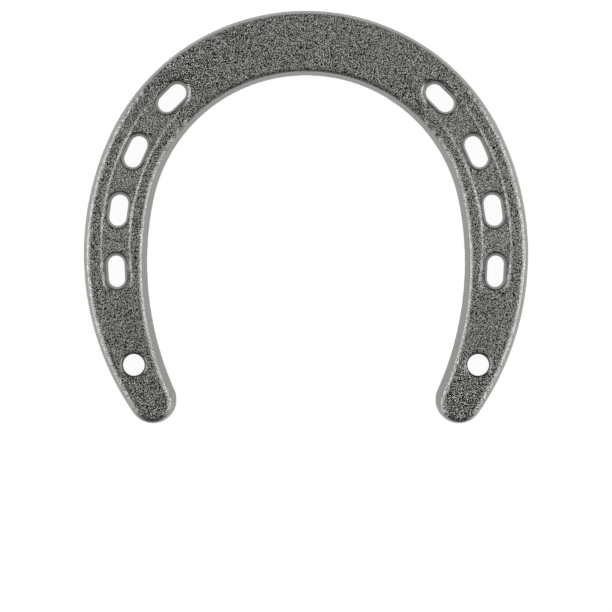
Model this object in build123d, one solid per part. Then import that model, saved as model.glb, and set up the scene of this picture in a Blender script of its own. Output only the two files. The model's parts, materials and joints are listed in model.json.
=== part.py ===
from build123d import *

import math
import os

# A cast-iron horseshoe, lying flat with its creased face up.
# Millimetres. +X runs across the shoe, +Y points to the toe, +Z is up.
# The origin is on the flat back, in the middle of the overall width and length.

THICKNESS = 9.0

# Plan of the back, right half. Both toe arcs are centred on the Y axis, the
# side and heel arcs follow on tangent, and one round tip joins the two edges.
TOE_OUTER_Y = 55.85
TOE_INNER_Y = 38.2
OUTER_TOE_RADIUS = 58.8
OUTER_TOE_SWEEP = 41.0
OUTER_SIDE_RADIUS = 57.4
OUTER_SIDE_SWEEP = 23.0
INNER_TOE_RADIUS = 42.0
INNER_TOE_SWEEP = 78.5
HEEL_TIP_X = 41.4
HEEL_TIP_Y = -49.35
HEEL_TIP_RADIUS = 6.5

# How far the walls lean in on their way from the back to the creased face. The
# inner wall leans more at the sides than at the toe. The round heel tip shrinks
# by its own lean and shifts, so that its inner side leans most, its end least.
OUTER_LEAN = 0.95
INNER_TOE_LEAN = 1.1
INNER_SIDE_LEAN = 1.45
HEEL_TIP_LEAN = 1.38
HEEL_TIP_SHIFT = (0.02, -1.02)

FACE_EDGE_RADIUS = 0.8
BACK_EDGE_RADIUS = 0.4

# Nail slots of the right side, from the toe to the heel: X, Y, how far the toe
# end of the slot leans over towards the middle of the shoe in degrees, length
# and width. The two slots near the toe are longer, and the last one is narrow.
NAIL_SLOTS = (
    (36.2, 32.1, 45.0, 8.8, 4.7),
    (46.0, 17.6, 24.0, 8.8, 4.65),
    (50.6, 1.8, 8.4, 8.5, 4.65),
    (51.2, -14.7, -3.0, 8.5, 4.4),
)
SLOT_THROAT_DEPTH = 3.5
SLOT_MOUTH_LEAN = 0.75

# The nail crease is a shallow channel that runs through the slots of one side.
CREASE_CENTRE = (-8.4, -7.9)
CREASE_ARC_RADIUS = 59.9
CREASE_TOE_ANGLE = 43.0
CREASE_HEEL_ANGLE = -8.5
CREASE_FLOOR_WIDTH = 6.4
CREASE_DEPTH = 0.5
CREASE_WALL_ANGLE = 45.0

# Round holes near the heel tips.
HEEL_HOLE_X = 46.5
HEEL_HOLE_Y = -40.0
HEEL_HOLE_RADIUS = 2.95
HEEL_HOLE_CHAMFER = 0.35


def polar(centre, radius, angle):
    """The point of a circle at an angle in degrees."""
    return centre + Vector(radius, 0).rotate(Axis.Z, angle)


def angle_of(vector):
    """The direction of a plan vector in degrees."""
    return math.degrees(math.atan2(vector.Y, vector.X))


def arc(centre, radius, start, end):
    """An arc that turns clockwise from the start angle down to the end angle."""
    return CenterArc((centre.X, centre.Y), radius, start, end - start).edge()


def heel_arc(start, angle, tip_centre, tip_radius, side):
    """The arc that leaves a point square to the given angle and touches the
    heel tip: side is 1 when it wraps around the tip, -1 when it passes it by."""
    inward = polar(Vector(), -1, angle)
    gap = start - tip_centre
    radius = (tip_radius**2 - gap.dot(gap)) / (2 * (gap.dot(inward) + side * tip_radius))
    centre = start + inward * radius
    tip_angle = angle_of((tip_centre - centre) * side)
    return arc(centre, radius, angle, angle_of(tip_centre - centre)), tip_angle


def plan_face(outer_lean, inner_toe_lean, inner_side_lean, tip_lean, tip_shift):
    """The shoe's plan, drawn in from the plan of the back by the given leans."""
    outer_radius = OUTER_TOE_RADIUS - outer_lean
    outer_centre = Vector(0, TOE_OUTER_Y - OUTER_TOE_RADIUS)
    toe_end = 90 - OUTER_TOE_SWEEP
    side_end = toe_end - OUTER_SIDE_SWEEP
    side_radius = OUTER_SIDE_RADIUS - outer_lean
    side_centre = polar(outer_centre, outer_radius - side_radius, toe_end)

    inner_radius = INNER_TOE_RADIUS + inner_side_lean
    inner_centre = Vector(0, TOE_INNER_Y + inner_toe_lean - inner_radius)
    inner_end = 90 - INNER_TOE_SWEEP

    tip_centre = Vector(HEEL_TIP_X, HEEL_TIP_Y) + Vector(*tip_shift)
    tip_radius = HEEL_TIP_RADIUS - tip_lean
    side_point = polar(side_centre, side_radius, side_end)
    inner_point = polar(inner_centre, inner_radius, inner_end)
    outer_heel, tip_start = heel_arc(side_point, side_end, tip_centre, tip_radius, 1)
    inner_heel, tip_end = heel_arc(inner_point, inner_end, tip_centre, tip_radius, -1)
    right = [
        arc(side_centre, side_radius, toe_end, side_end),
        outer_heel,
        arc(tip_centre, tip_radius, tip_start, tip_end - 360),
        inner_heel,
    ]
    left = [edge.mirror(Plane.YZ) for edge in right]
    toe = [
        arc(outer_centre, outer_radius, 180 - toe_end, toe_end),
        arc(inner_centre, inner_radius, 180 - inner_end, inner_end),
    ]
    return Face(Wire(toe + right + left))


def casting_blank():
    """The solid shoe with leaning walls and rounded edges, before it is pierced."""
    back = plan_face(0, 0, 0, 0, (0, 0))
    face = plan_face(OUTER_LEAN, INNER_TOE_LEAN, INNER_SIDE_LEAN, HEEL_TIP_LEAN, HEEL_TIP_SHIFT)
    blank = loft([back, Pos(0, 0, THICKNESS) * face], ruled=True)
    blank = fillet(blank.faces().sort_by(Axis.Z)[-1].edges(), FACE_EDGE_RADIUS)
    return fillet(blank.faces().sort_by(Axis.Z)[0].edges(), BACK_EDGE_RADIUS)


def nail_slot(x, y, lean, length, width):
    """A slot that goes right through: an even throat at the back, and a mouth
    that widens towards the creased face."""
    plan = Rot(0, 0, 90 + lean) * SlotOverall(length, width)
    throat = extrude(plan, SLOT_THROAT_DEPTH)
    mouth_depth = THICKNESS - SLOT_THROAT_DEPTH
    taper = math.degrees(math.atan2(SLOT_MOUTH_LEAN, mouth_depth))
    mouth = Pos(0, 0, SLOT_THROAT_DEPTH) * extrude(plan, mouth_depth, taper=-taper)
    return Pos(x, y, 0) * (throat + mouth)


def crease():
    """The channel through the slots of the right side."""
    middle = arc(Vector(*CREASE_CENTRE), CREASE_ARC_RADIUS, CREASE_TOE_ANGLE, CREASE_HEEL_ANGLE)
    floor = SlotArc(middle, CREASE_FLOOR_WIDTH)
    return Pos(0, 0, THICKNESS - CREASE_DEPTH) * extrude(floor, CREASE_DEPTH, taper=-CREASE_WALL_ANGLE)


def heel_hole():
    """The round hole of the right heel, with a small chamfer at its mouth."""
    bore = Cylinder(HEEL_HOLE_RADIUS, THICKNESS, align=(Align.CENTER, Align.CENTER, Align.MIN))
    mouth_radius = HEEL_HOLE_RADIUS + HEEL_HOLE_CHAMFER
    mouth = Cone(
        HEEL_HOLE_RADIUS,
        mouth_radius,
        HEEL_HOLE_CHAMFER,
        align=(Align.CENTER, Align.CENTER, Align.MAX),
    )
    return Pos(HEEL_HOLE_X, HEEL_HOLE_Y, 0) * (bore + Pos(0, 0, THICKNESS) * mouth)


def horseshoe_casting():
    """The whole casting: the blank, less what is pierced in each side."""
    casting = casting_blank()
    right = [nail_slot(*slot) for slot in NAIL_SLOTS] + [crease(), heel_hole()]
    for cut in right:
        casting -= cut
        casting -= mirror(cut, about=Plane.YZ)
    return casting


os.makedirs("parts", exist_ok=True)
export_step(horseshoe_casting(), "parts/horseshoe_casting.step")
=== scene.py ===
import json

import bpy
import numpy as np
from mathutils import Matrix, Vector, noise
from mathutils.kdtree import KDTree


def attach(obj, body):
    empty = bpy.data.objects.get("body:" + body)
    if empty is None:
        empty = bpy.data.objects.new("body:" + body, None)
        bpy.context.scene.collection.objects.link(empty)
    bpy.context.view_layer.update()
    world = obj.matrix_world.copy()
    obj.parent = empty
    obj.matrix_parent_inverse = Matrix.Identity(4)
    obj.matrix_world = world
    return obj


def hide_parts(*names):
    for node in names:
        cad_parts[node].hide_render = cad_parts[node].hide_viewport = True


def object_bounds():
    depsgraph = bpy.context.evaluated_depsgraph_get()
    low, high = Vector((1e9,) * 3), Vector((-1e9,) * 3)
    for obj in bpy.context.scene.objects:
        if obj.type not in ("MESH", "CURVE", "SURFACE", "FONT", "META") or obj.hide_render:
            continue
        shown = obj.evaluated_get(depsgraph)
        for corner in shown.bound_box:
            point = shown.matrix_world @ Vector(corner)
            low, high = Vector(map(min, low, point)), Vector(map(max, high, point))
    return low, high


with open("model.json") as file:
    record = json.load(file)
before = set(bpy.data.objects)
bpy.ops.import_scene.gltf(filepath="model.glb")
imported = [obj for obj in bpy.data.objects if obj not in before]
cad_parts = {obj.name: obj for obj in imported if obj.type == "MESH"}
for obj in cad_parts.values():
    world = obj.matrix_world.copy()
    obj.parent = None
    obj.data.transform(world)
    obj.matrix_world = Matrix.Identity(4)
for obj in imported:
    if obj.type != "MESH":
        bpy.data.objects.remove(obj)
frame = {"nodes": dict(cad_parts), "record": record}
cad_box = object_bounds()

# A dark cast-iron horseshoe with a pebbled skin, lying on a white table under
# soft lights from the left, the right, beyond the toe and above. Metres throughout.

CASTING = "horseshoe_casting"

# The skin is a fine mesh laid over the casting, with its corners worn round.
# The steps ease the corners and then push back, so the shoe doesn't shrink.
SKIN_VOXEL = 0.00042
CORNER_STEPS = (0.5, -0.52, 0.5, -0.52, 0.5)

# The casting's grain, as bumps in the mesh. Sizes are of one bump, and the walls
# carry only a share of it.
LUMP_SIZE = 0.0021
LUMP_HEIGHT = 0.00005
PEBBLE_SIZE = 0.0011
PEBBLE_HEIGHT = 0.00003
WALL_GRAIN = 0.35

# Painted shade on the lips of the nail slots and heel holes.
# A lip's kind of mount, its reach in plan, and how far down the face it lies.
# The upward part of its normal tells a lip from the flat face and the walls.
LIPS = (("nail_slot", 0.0062, 0.0005, 0.0013), ("heel_hole", 0.0042, -0.0001, 0.0007))
LIP_UPRIGHT = (0.35, 0.9)
RIM_WIDTH = 0.00045
RIM_DARKNESS = 0.8

# Edges stand out from the shape around them, by a height in metres. Those that
# face sideways get a painted highlight, where the side lights catch them, and
# those that face the heel get painted shade, as do the toe ends inside the
# slots. The other spans are of one part of a unit direction: upright, sideways
# or towards the heel.
EDGE_STEPS = (0.5, 0.5, 0.5, 0.5)
EDGE_RELIEF = (0.00002, 0.000036)
SHEEN_UPRIGHT = (0.35, 0.75)
SHEEN_SIDEWAYS = (0.75, 0.97)
SHADE_HEELWARD = (0.75, 0.95)
HEELWARD_SHADE_DARKNESS = 0.55
SLOT_END_HEELWARD = (0.5, 0.9)
SLOT_END_SHADE = 0.55

# The floor of the crease, by its depth, is rubbed a little.
CREASE_FLOOR = (0.0003, 0.0007)
CREASE_UPRIGHT = 0.9
CREASE_WORN = 0.08

# The iron's fine grain is noise less pebbles, tilted so that the flat face cuts
# it evenly. Scales are bumps to the metre. Greys run from 0 for black to 1 for
# white, with a little less blue.
GRAIN_TILT = (0.5, 0.7, 0.3)
FINE_SCALE = 5200.0
PEBBLE_SCALE = 3600.0
PEBBLE_SHARE = 0.35
GRAIN_DEPTH = 0.0002
WALL_TO_FACE = (0.3, 0.9)
WALL_STRENGTH = 0.25
TONE_SPAN = (0.35, 0.44)
PIT_GREY = 0.004
TOP_GREY = 0.66
WALL_GREY = 0.25
# The painted highlight on the sideways edges, and the wear on the crease floor, share these
# greys.
SHEEN_AND_WEAR_SPAN = (0.3, 0.42)
SHEEN_AND_WEAR_LEAST = 0.3
SHEEN_AND_WEAR_GREY = 1.0
# The grey of the painted shade on heelward edges, slot lips and slot toe ends.
PAINTED_SHADE_GREY = 0.02
BLUE_SHARE = 0.94

# The table lies just clear of the lowest bumps of the grain on the back. It
# glows, so that it stays white in every view.
TABLE_GAP = 0.0001
TABLE_HALF = 3.0
TABLE_GLOW = 0.96

# The soft lights: name, place, size and power.
LIGHTS = (
    ("left_light", (-0.55, 0.0, 0.25), (0.4, 0.25), 2.1),
    ("right_light", (0.55, 0.0, 0.25), (0.4, 0.25), 2.1),
    ("toe_light", (0, 0.6, 0.3), (0.4, 0.2), 0.7),
    ("top_light", (0, 0, 1.6), (0.9, 0.9), 0.35),
)
SKY_STRENGTH = 0.26

# How the camera frames the shoe: it looks straight down from far away.
CAMERA_DISTANCE = 3.2
FRAME_WIDTH = 0.1656
AIM = (0.0, -0.0241)

# Stands in for a length of nothing, which can't be divided by.
TINY = 1e-9


def mesh_of(shape):
    """The mesh that an object shows with its modifiers."""
    graph = bpy.context.evaluated_depsgraph_get()
    return bpy.data.meshes.new_from_object(shape.evaluated_get(graph), depsgraph=graph)


def points_of(mesh):
    """The places of a mesh's vertices, one to a row."""
    points = np.empty(len(mesh.vertices) * 3)
    mesh.vertices.foreach_get("co", points)
    return points.reshape(-1, 3)


def normals_of(mesh):
    """The normals at a mesh's vertices, one to a row."""
    normals = np.empty(len(mesh.vertices) * 3)
    mesh.vertex_normals.foreach_get("vector", normals)
    return normals.reshape(-1, 3)


def edges_of(mesh):
    """The two vertices of each edge, one edge to a row."""
    edges = np.empty(len(mesh.edges) * 2, dtype=np.int64)
    mesh.edges.foreach_get("vertices", edges)
    return edges.reshape(-1, 2)


def eased(values, edges, steps):
    """Values at the vertices, moved in turn by each step towards the mean of their neighbours."""
    ends = np.concatenate((edges[:, 0], edges[:, 1]))
    others = np.concatenate((edges[:, 1], edges[:, 0]))
    count = np.bincount(ends, minlength=len(values))[:, None]
    for step in steps:
        sums = [np.bincount(ends, column[others], len(values)) for column in values.T]
        total = np.stack(sums, axis=1)
        values = values + step * (total / count - values)
    return values


def put_points(mesh, points):
    """Moves a mesh's vertices."""
    mesh.vertices.foreach_set("co", points.astype(np.float32).ravel())
    mesh.update()


def put_attribute(mesh, name, values):
    """Stores a number at each vertex, for the material to read."""
    layer = mesh.attributes.new(name, "FLOAT", "POINT")
    layer.data.foreach_set("value", values.astype(np.float32))


def fine_mesh(node):
    """An even, fine mesh of a CAD node, in an object of its own."""
    piece = bpy.data.objects.new("horseshoe_skin", node.data.copy())
    bpy.context.scene.collection.objects.link(piece)
    voxels = piece.modifiers.new("even_mesh", "REMESH")
    voxels.mode = "VOXEL"
    voxels.voxel_size = SKIN_VOXEL
    voxels.use_smooth_shade = True
    mesh = mesh_of(piece)
    piece.modifiers.clear()
    piece.data = mesh
    return piece


def grain_height(point):
    """How far the cast skin stands out at a point: rounded pebbles on low lumps."""
    lump = noise.noise(point / LUMP_SIZE)
    distances, _ = noise.voronoi(point / PEBBLE_SIZE)
    pebble = 0.5 - distances[0]
    return LUMP_HEIGHT * lump + PEBBLE_HEIGHT * pebble


def ramp(values, span):
    """0 below a span of values, 1 above it, and even in between."""
    return np.clip((values - span[0]) / (span[1] - span[0]), 0, 1)


def depth_of(points):
    """How far below the face each point lies."""
    return points[:, 2].max() - points[:, 2]


def edge_shares(points, edges, normals):
    """How much painted highlight (with a little wear on the crease floor) and how much painted
    shade each point gets, from 0 to 1.
    """
    offset = points - eased(points, edges, EDGE_STEPS)
    outward = offset[:, :2] / np.maximum(np.hypot(*offset[:, :2].T), TINY)[:, None]
    ridge = ramp((offset * normals).sum(axis=1), EDGE_RELIEF)
    sheen_and_wear = ridge * ramp(normals[:, 2], SHEEN_UPRIGHT) * ramp(np.abs(outward[:, 0]), SHEEN_SIDEWAYS)
    # Painted shade on the edges that face the heel.
    heelward_shade = ridge * (normals[:, 2] > 0) * ramp(-outward[:, 1], SHADE_HEELWARD)
    depth = depth_of(points)
    floor = (depth > CREASE_FLOOR[0]) & (depth < CREASE_FLOOR[1])
    floor &= normals[:, 2] > CREASE_UPRIGHT
    return np.maximum(sheen_and_wear, CREASE_WORN * floor), HEELWARD_SHADE_DARKNESS * heelward_shade


def rim_share(points, normals):
    """How much painted shade the lips and the toe ends of the openings lay on each point, from 0
    to 1.
    """
    depth = depth_of(points)
    slanted = (normals[:, 2] > LIP_UPRIGHT[0]) & (normals[:, 2] < LIP_UPRIGHT[1])
    lip = np.zeros(len(points), dtype=bool)
    near = np.zeros(len(points), dtype=bool)
    for mount in frame["record"]["mounts"]:
        for kind, reach, shallow, deep in LIPS:
            if kind in mount["name"]:
                around = np.hypot(*(points[:, :2] - mount["pos_m"][:2]).T) < reach
                near |= around
                lip |= around & slanted & (depth > shallow) & (depth < deep)
    tree = KDTree(int(lip.sum()))
    for index in np.flatnonzero(lip):
        tree.insert(points[index], index)
    tree.balance()
    share = np.zeros(len(points))
    for index in np.flatnonzero(near):
        share[index] = 1 - min(tree.find(points[index])[2] / RIM_WIDTH, 1)
    # Painted shade on the toe-end walls of the openings, which face the heel.
    slot_ends = near * ramp(-normals[:, 1], SLOT_END_HEELWARD)
    return np.maximum(RIM_DARKNESS * share, SLOT_END_SHADE * slot_ends)


def cast_skin(node):
    """The casting's visible skin, with worn corners and a real grain."""
    piece = fine_mesh(node)
    mesh = piece.data
    edges = edges_of(mesh)
    points = points_of(mesh)
    points = eased(points, edges, CORNER_STEPS)
    put_points(mesh, points)
    normals = normals_of(mesh)
    flatness = np.abs(normals[:, 2])
    share = WALL_GRAIN + (1 - WALL_GRAIN) * flatness**2
    height = np.array([grain_height(Vector(point)) for point in points])
    sheen_and_wear, heelward_shade = edge_shares(points, edges, normals)
    put_points(mesh, points + normals * (height * share)[:, None])
    # Masks of the painted highlight (with crease wear) and of the painted shade.
    put_attribute(mesh, "sheen_and_wear", sheen_and_wear)
    put_attribute(mesh, "face", flatness)
    put_attribute(mesh, "painted_shade", np.maximum(heelward_shade, rim_share(points, normals)))
    return piece


class Tree:
    """A material's nodes, made and joined a line at a time."""

    def __init__(self, name):
        self.material = bpy.data.materials.new(name)
        self.material.use_nodes = True
        self.nodes = self.material.node_tree.nodes
        self.shader = self.nodes["Principled BSDF"]

    def join(self, value, socket):
        """Puts a number, a colour or another node's output on a socket."""
        if isinstance(value, bpy.types.NodeSocket):
            self.material.node_tree.links.new(value, socket)
        else:
            socket.default_value = value

    def add(self, kind, output, settings=None, **inputs):
        """A new node's output, with its settings and inputs by name."""
        node = self.nodes.new(kind)
        for name, value in (settings or {}).items():
            setattr(node, name, value)
        for name, value in inputs.items():
            self.join(value, node.inputs[name.replace("_", " ")])
        return node.outputs[output]

    def maths(self, operation, first, second):
        """The result of one operation on two values."""
        node = self.nodes.new("ShaderNodeMath")
        node.operation = operation
        self.join(first, node.inputs[0])
        self.join(second, node.inputs[1])
        return node.outputs[0]

    def spread(self, value, low, high, new_low=0.0, new_high=1.0):
        """Maps a value's range onto another, and stops at both ends."""
        return self.add(
            "ShaderNodeMapRange",
            "Result",
            Value=value,
            From_Min=low,
            From_Max=high,
            To_Min=new_low,
            To_Max=new_high,
        )

    def blend(self, share, first, second):
        """A colour between two colours."""
        node = self.nodes.new("ShaderNodeMix")
        node.data_type = "RGBA"
        self.join(share, node.inputs["Factor"])
        self.join(first, node.inputs["A"])
        self.join(second, node.inputs["B"])
        return node.outputs["Result"]


def grey(value):
    """An iron grey, a shade warm."""
    return (value, value, BLUE_SHARE * value, 1)


def iron_grain(tree):
    """The height of the fine grain: noise, with pebbles taken from it."""
    straight = tree.add("ShaderNodeTexCoord", "Object")
    place = tree.add("ShaderNodeMapping", "Vector", Vector=straight, Rotation=GRAIN_TILT)
    fine = tree.add(
        "ShaderNodeTexNoise",
        "Fac",
        Vector=place,
        Scale=FINE_SCALE,
        Detail=1.0,
        Roughness=0.6,
    )
    pebble = tree.add(
        "ShaderNodeTexVoronoi",
        "Distance",
        {"feature": "SMOOTH_F1"},
        Vector=place,
        Scale=PEBBLE_SCALE,
        Smoothness=0.6,
    )
    return tree.maths("SUBTRACT", fine, tree.maths("MULTIPLY", pebble, PEBBLE_SHARE))


def cast_iron():
    """Dark cast iron: pitted and speckled on the face, plainer on the walls."""
    tree = Tree("cast_iron")
    face = tree.add("ShaderNodeAttribute", "Fac", {"attribute_name": "face"})
    edge = tree.add("ShaderNodeAttribute", "Fac", {"attribute_name": "sheen_and_wear"})
    painted_shade = tree.add("ShaderNodeAttribute", "Fac", {"attribute_name": "painted_shade"})
    grain = iron_grain(tree)
    strength = tree.spread(face, *WALL_TO_FACE, WALL_STRENGTH, 1.0)
    bump = tree.add(
        "ShaderNodeBump",
        "Normal",
        Height=grain,
        Strength=strength,
        Distance=GRAIN_DEPTH,
    )
    tone = tree.spread(grain, *TONE_SPAN)
    pitted = tree.blend(tone, grey(PIT_GREY), grey(TOP_GREY))
    speckle = tree.blend(strength, grey(WALL_GREY), pitted)
    # Painted highlight on the sideways edges, with a little wear on the crease floor.
    sheen_and_wear = tree.maths("MULTIPLY", edge, tree.spread(grain, *SHEEN_AND_WEAR_SPAN, SHEEN_AND_WEAR_LEAST, 1.0))
    bright = tree.blend(sheen_and_wear, speckle, grey(SHEEN_AND_WEAR_GREY))
    # Painted shade over all: heelward edges, the lips of the openings and their toe ends.
    colour = tree.blend(painted_shade, bright, grey(PAINTED_SHADE_GREY))
    tree.join(colour, tree.shader.inputs["Base Color"])
    tree.join(bump, tree.shader.inputs["Normal"])
    tree.join(0.9, tree.shader.inputs["Metallic"])
    tree.join((0.8, 0.8, 0.8, 1), tree.shader.inputs["Specular Tint"])
    tree.join(0.36, tree.shader.inputs["Roughness"])
    return tree.material


def horseshoe():
    """The visible shoe, in place of the casting."""
    piece = cast_skin(frame["nodes"][CASTING])
    piece.data.materials.clear()
    piece.data.materials.append(cast_iron())
    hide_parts(CASTING)
    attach(piece, "root")


def table():
    """A plain white table top under the shoe."""
    level = cad_box[0].z - TABLE_GAP
    turns = ((-1, -1), (1, -1), (1, 1), (-1, 1))
    corners = [(x * TABLE_HALF, y * TABLE_HALF, level) for x, y in turns]
    mesh = bpy.data.meshes.new("table")
    mesh.from_pydata(corners, [], [(0, 1, 2, 3)])
    top = bpy.data.objects.new("table", mesh)
    bpy.context.scene.collection.objects.link(top)
    material = bpy.data.materials.new("white_table")
    material.use_nodes = True
    shader = material.node_tree.nodes["Principled BSDF"]
    shader.inputs["Base Color"].default_value = (0.1, 0.1, 0.1, 1)
    shader.inputs["Roughness"].default_value = 0.9
    shader.inputs["Specular IOR Level"].default_value = 0.1
    shader.inputs["Emission Color"].default_value = (1, 1, 1, 1)
    shader.inputs["Emission Strength"].default_value = TABLE_GLOW
    mesh.materials.append(material)


def soft_box(name, place, size, power):
    """A rectangular soft light that faces the shoe."""
    data = bpy.data.lights.new(name, "AREA")
    data.shape = "RECTANGLE"
    data.size, data.size_y = size
    data.energy = power
    lamp = bpy.data.objects.new(name, data)
    lamp.location = place
    lamp.rotation_euler = (-Vector(place)).to_track_quat("-Z", "Y").to_euler()
    bpy.context.scene.collection.objects.link(lamp)


def studio():
    """The soft lights, and a dim even sky around them."""
    for light in LIGHTS:
        soft_box(*light)
    world = bpy.data.worlds.new("studio")
    world.use_nodes = True
    sky = world.node_tree.nodes["Background"]
    sky.inputs["Color"].default_value = (1, 1, 1, 1)
    sky.inputs["Strength"].default_value = SKY_STRENGTH
    bpy.context.scene.world = world
    bpy.context.scene.view_settings.view_transform = "Standard"


def camera():
    """The camera, high above the table and looking straight down."""
    data = bpy.data.cameras.new("camera")
    data.sensor_width = 36
    data.lens = data.sensor_width * CAMERA_DISTANCE / FRAME_WIDTH
    data.clip_start = 0.1
    data.clip_end = 50
    eye = bpy.data.objects.new("camera", data)
    eye.location = (*AIM, CAMERA_DISTANCE)
    bpy.context.scene.collection.objects.link(eye)
    bpy.context.scene.camera = eye


horseshoe()
table()
studio()
camera()
